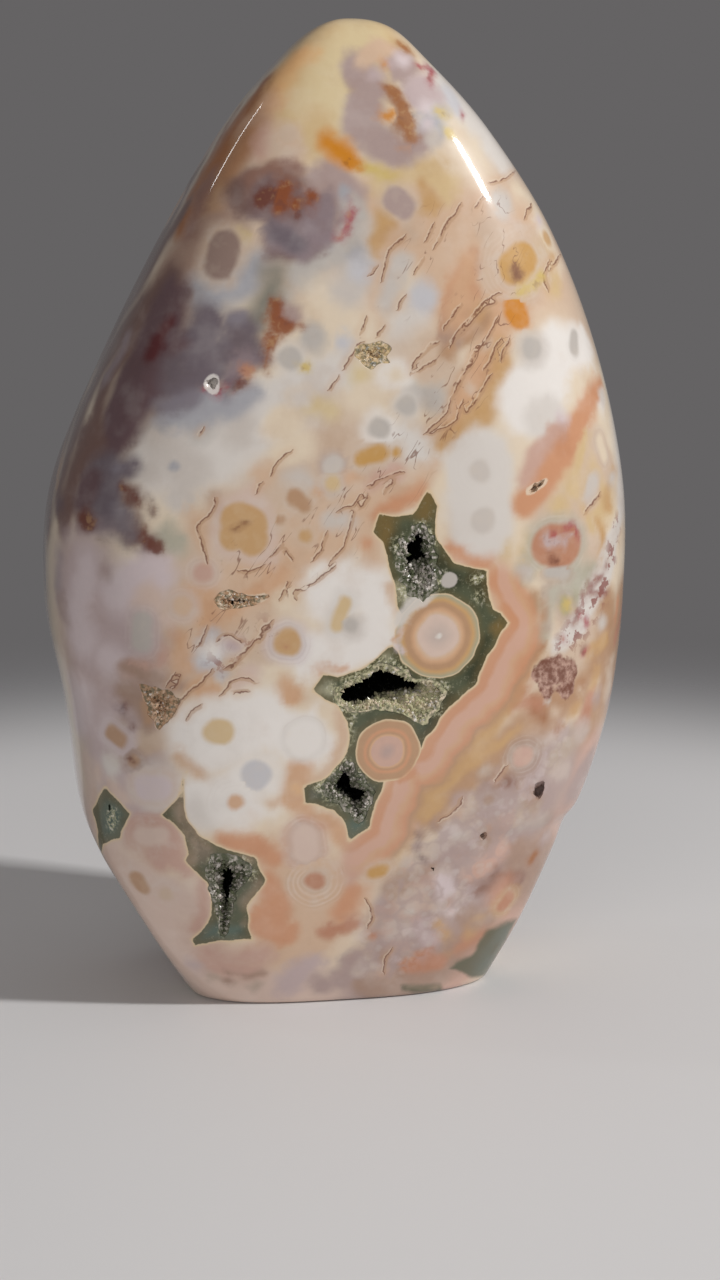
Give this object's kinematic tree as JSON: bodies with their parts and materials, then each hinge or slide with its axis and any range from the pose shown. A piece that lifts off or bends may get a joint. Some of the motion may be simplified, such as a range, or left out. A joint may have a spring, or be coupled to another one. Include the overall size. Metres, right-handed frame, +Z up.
{
  "type": "pink ocean jasper freeform",
  "caption": "Polished flame-shaped freeform of pink orbicular jasper that stands on its own flat foot, with crystal-lined hollows in its front.",
  "frame": {"origin": "middle of the stone's outline seen from above, on the plane of its flat foot", "axes": "+Z up from the foot to the tip; the front with the hollows faces -Y; +X to the right seen from the front"},
  "size_m": [0.0732, 0.0406, 0.12],
  "materials": {
    "jasper": "high polish, banded and orbed in pink, white, ochre and green",
    "druse": "sparkling grey-green quartz points"
  },
  "bodies": {
    "root": {"stone": "jasper", "crystals_upper_hollow": "druse", "crystals_centre_hollow": "druse", "crystals_lower_hollow": "druse", "crystals_base_hollow": "druse", "crystals_left_pocket": "druse"}
  },
  "joints": []
}
